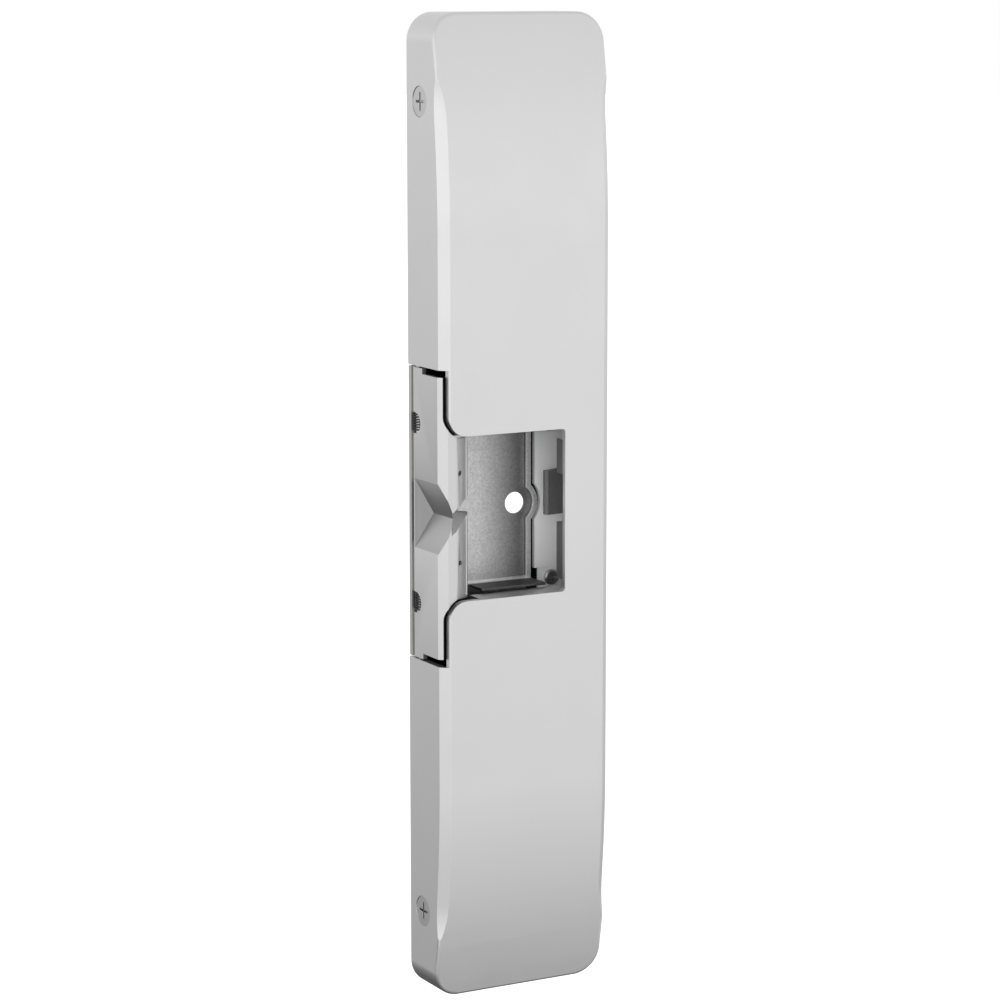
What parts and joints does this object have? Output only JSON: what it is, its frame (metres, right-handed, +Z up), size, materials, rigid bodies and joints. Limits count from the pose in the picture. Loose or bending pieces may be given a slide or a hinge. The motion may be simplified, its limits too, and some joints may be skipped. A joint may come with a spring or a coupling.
{
  "type": "electric door strike",
  "caption": "Surface-mounted electric strike for a rim latch: crowned satin steel cover, mouth in the front, pivoting keeper in one side, locked by solenoid plungers.",
  "frame": {"origin": "centre of the flat back face, at mid height", "axes": "+X across the strike away from the keeper side, +Y into the door frame, +Z up"},
  "size_m": [0.0444, 0.017, 0.2286],
  "materials": {
    "satin_stainless": "fine satin",
    "keeper_steel": "satin, cast and ground",
    "blasted_steel": "bead blasted, matt",
    "bracket_steel": "fine brushed",
    "plate_steel": "cold rolled, plated",
    "block_steel": "machined, blackened",
    "plated_frame": "zinc plated, passivated",
    "pin_steel": "ground",
    "screw_steel": "machined",
    "spring_steel": "drawn wire, phosphated",
    "dark_plastic": "moulded, fine texture",
    "black_plastic": "moulded",
    "button_plastic": "moulded",
    "nylon": "moulded nylon",
    "brass": "tinned and bare brass",
    "board_laminate": "solder mask",
    "capacitor_can": "sleeved can",
    "coil_tape": "polyester tape wrap"
  },
  "bodies": {
    "housing": {"back_plate": "plate_steel", "block_screws": "screw_steel", "board_screws": "screw_steel", "board_spacers": "nylon", "bracket_screws": "screw_steel", "capacitor": "capacitor_can", "circuit_board": "board_laminate", "cover": "satin_stainless", "cover_screws": "screw_steel", "header_pins": "brass", "hinge_pin": "pin_steel", "keeper_springs": "spring_steel", "latch_tray": "blasted_steel", "lower_bearing_block": "block_steel", "lower_bobbin": "nylon", "lower_coil": "coil_tape", "lower_plunger_spring": "spring_steel", "lower_pole_piece": "block_steel", "lower_solenoid_frame": "plated_frame", "mode_selector": "black_plastic", "monitor_bracket": "bracket_steel", "monitor_switch": "black_plastic", "rectifier": "black_plastic", "rocker_spring": "spring_steel", "solenoid_screws": "screw_steel", "switch_screws": "screw_steel", "switch_terminals": "brass", "upper_bearing_block": "block_steel", "upper_bobbin": "nylon", "upper_coil": "coil_tape", "upper_plunger_spring": "spring_steel", "upper_pole_piece": "block_steel", "upper_solenoid_frame": "plated_frame", "wire_header": "nylon"},
    "keeper": {"keeper": "keeper_steel"},
    "upper_lock": {"upper_plunger": "pin_steel", "upper_plunger_clip": "spring_steel", "upper_armature": "block_steel"},
    "lower_lock": {"lower_plunger": "pin_steel", "lower_plunger_clip": "spring_steel", "lower_armature": "block_steel"},
    "rocker": {"monitor_rocker": "dark_plastic"},
    "button": {"switch_button": "button_plastic"}
  },
  "joints": [
    {"name": "keeper_swing", "type": "hinge", "parent": "housing", "child": "keeper", "pos_m": [-0.02073, -0.0027, 0], "axis": [0, 0, 1], "range_deg": [-80, 0], "stiffness_Nm_per_rad": 0.02, "springref_deg": 20.05, "deforming": ["keeper_springs"]},
    {"name": "upper_plunger_slide", "type": "slide", "parent": "housing", "child": "upper_lock", "axis": [0, 0, -1], "range_m": [0, 0.005], "stiffness_N_per_m": 120, "springref_m": -0.004, "deforming": ["upper_plunger_spring"]},
    {"name": "lower_plunger_slide", "type": "slide", "parent": "housing", "child": "lower_lock", "axis": [0, 0, 1], "range_m": [0, 0.005], "stiffness_N_per_m": 120, "springref_m": -0.004, "deforming": ["lower_plunger_spring"]},
    {"name": "rocker_turn", "type": "hinge", "parent": "housing", "child": "rocker", "pos_m": [0.01837, -0.0042, 0], "axis": [0, 0, -1], "range_deg": [0, 14], "stiffness_Nm_per_rad": 0.002, "springref_deg": -22.92, "deforming": ["rocker_spring"]},
    {"name": "button_press", "type": "slide", "parent": "housing", "child": "button", "axis": [-1, 0, 0], "range_m": [0, 0.00086]}
  ],
  "couplings": [
    {"joint": "button_press", "follows": "rocker_turn", "m_per_rad": 0.0034787}
  ]
}
